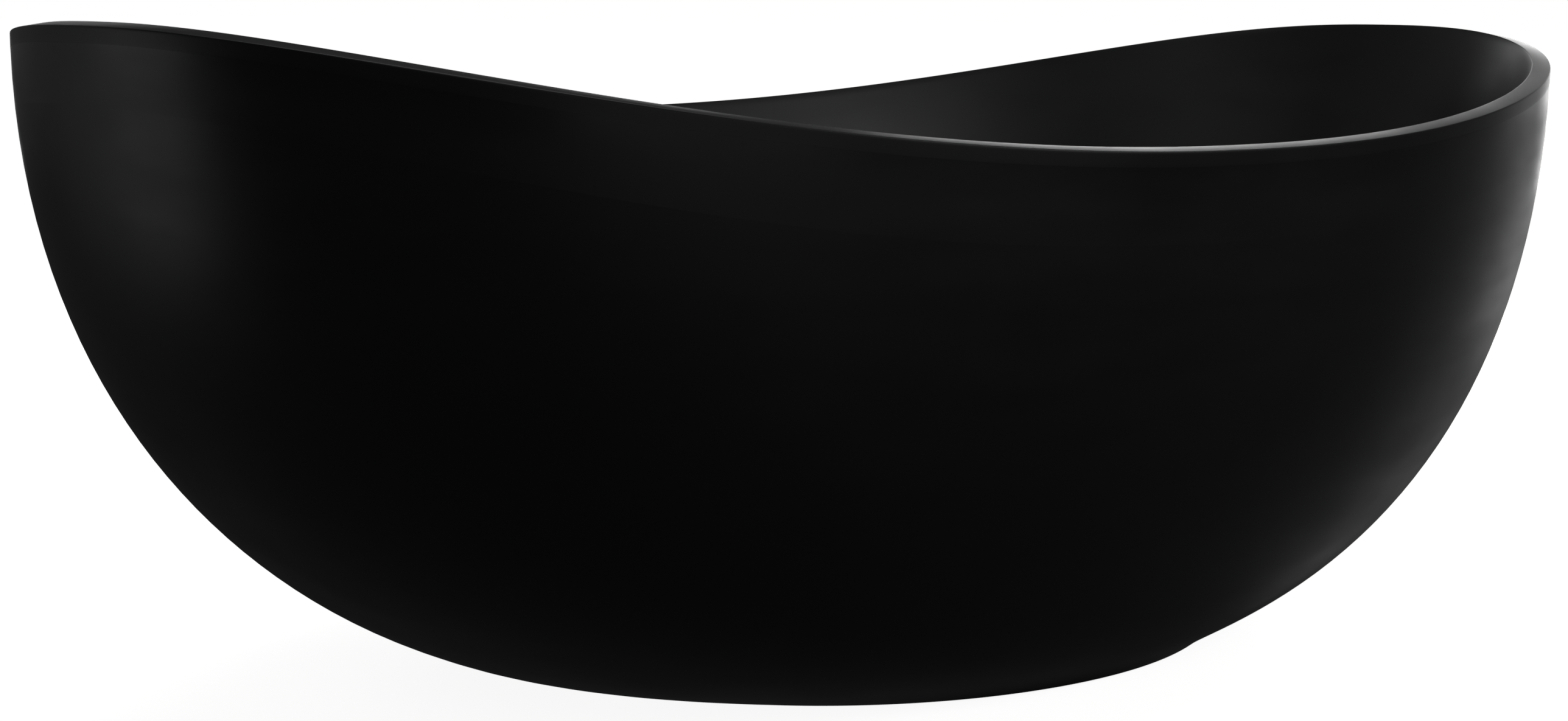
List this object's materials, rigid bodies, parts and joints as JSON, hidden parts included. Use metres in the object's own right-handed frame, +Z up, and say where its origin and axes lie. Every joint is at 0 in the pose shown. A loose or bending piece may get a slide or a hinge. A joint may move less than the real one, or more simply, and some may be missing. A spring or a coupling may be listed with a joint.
{
  "type": "freestanding bathtub",
  "caption": "Long oval freestanding bathtub with raised ends, a dipped thin flat rim, a press-open floor waste, a slot overflow and hidden levelling feet.",
  "frame": {"origin": "on the floor, under the middle of the tub", "axes": "+X along the tub, +Y from the front wall to the back wall that holds the overflow, +Z up"},
  "size_m": [1.8, 1, 0.6333],
  "materials": {
    "cast_stone": "matte black cast solid surface, sanded",
    "zinc_steel": "zinc plated",
    "brass": "machined",
    "chrome_brass": "polished chrome plate",
    "rubber": "moulded",
    "pipe_plastic": "moulded white",
    "foot_plastic": "moulded black",
    "spring_steel": "stainless"
  },
  "bodies": {
    "tub": {"basin_shell": "cast_stone", "outer_skirt_shell": "cast_stone", "support_rail_left": "zinc_steel", "support_rail_right": "zinc_steel", "rail_insert_1": "brass", "rail_bolt_1": "zinc_steel", "rail_nut_1": "zinc_steel", "foot_lock_nut_1": "zinc_steel", "rail_insert_2": "brass", "rail_bolt_2": "zinc_steel", "rail_nut_2": "zinc_steel", "foot_lock_nut_2": "zinc_steel", "rail_insert_3": "brass", "rail_bolt_3": "zinc_steel", "rail_nut_3": "zinc_steel", "foot_lock_nut_3": "zinc_steel", "rail_insert_4": "brass", "rail_bolt_4": "zinc_steel", "rail_nut_4": "zinc_steel", "foot_lock_nut_4": "zinc_steel", "drain_flange": "chrome_brass", "overflow_trim": "chrome_brass", "overflow_screw_left": "chrome_brass", "overflow_screw_right": "chrome_brass", "drain_upper_gasket": "rubber", "drain_lower_gasket": "rubber", "outlet_washer": "rubber", "overflow_front_gasket": "rubber", "overflow_rear_gasket": "rubber", "drain_body": "pipe_plastic", "outlet_nut": "pipe_plastic", "outlet_tailpiece": "pipe_plastic", "overflow_hose": "pipe_plastic", "overflow_box": "foot_plastic", "latch_sleeve": "brass", "latch_spring": "spring_steel", "hose_clip_top": "spring_steel", "hose_clip_bottom": "spring_steel"},
    "foot_1": {"foot_pad_1": "foot_plastic"},
    "foot_2": {"foot_pad_2": "foot_plastic"},
    "foot_3": {"foot_pad_3": "foot_plastic"},
    "foot_4": {"foot_pad_4": "foot_plastic"},
    "stud_1": {"foot_stud_1": "zinc_steel"},
    "stud_2": {"foot_stud_2": "zinc_steel"},
    "stud_3": {"foot_stud_3": "zinc_steel"},
    "stud_4": {"foot_stud_4": "zinc_steel"},
    "plug": {"plug_cap": "chrome_brass", "plug_seal": "rubber", "plug_stem": "brass"}
  },
  "joints": [
    {"name": "plug_press", "type": "slide", "parent": "tub", "child": "plug", "axis": [0, 0, 1], "range_m": [0, 0.008], "deforming": ["latch_spring"]},
    {"name": "foot_1_height", "type": "slide", "parent": "tub", "child": "foot_1", "axis": [0, 0, -1], "range_m": [-0.002, 0.015]},
    {"name": "foot_1_turn", "type": "hinge", "parent": "foot_1", "child": "stud_1", "pos_m": [-0.23, -0.18, 0.05], "axis": [0, 0, -1], "range_deg": [-412, 3087]},
    {"name": "foot_2_height", "type": "slide", "parent": "tub", "child": "foot_2", "axis": [0, 0, -1], "range_m": [-0.002, 0.015]},
    {"name": "foot_2_turn", "type": "hinge", "parent": "foot_2", "child": "stud_2", "pos_m": [-0.23, 0.18, 0.05], "axis": [0, 0, -1], "range_deg": [-412, 3087]},
    {"name": "foot_3_height", "type": "slide", "parent": "tub", "child": "foot_3", "axis": [0, 0, -1], "range_m": [-0.002, 0.015]},
    {"name": "foot_3_turn", "type": "hinge", "parent": "foot_3", "child": "stud_3", "pos_m": [0.23, -0.18, 0.05], "axis": [0, 0, -1], "range_deg": [-412, 3087]},
    {"name": "foot_4_height", "type": "slide", "parent": "tub", "child": "foot_4", "axis": [0, 0, -1], "range_m": [-0.002, 0.015]},
    {"name": "foot_4_turn", "type": "hinge", "parent": "foot_4", "child": "stud_4", "pos_m": [0.23, 0.18, 0.05], "axis": [0, 0, -1], "range_deg": [-412, 3087]}
  ],
  "couplings": [
    {"joint": "foot_1_turn", "follows": "foot_1_height", "rad_per_m": 3590.4},
    {"joint": "foot_2_turn", "follows": "foot_2_height", "rad_per_m": 3590.4},
    {"joint": "foot_3_turn", "follows": "foot_3_height", "rad_per_m": 3590.4},
    {"joint": "foot_4_turn", "follows": "foot_4_height", "rad_per_m": 3590.4}
  ]
}
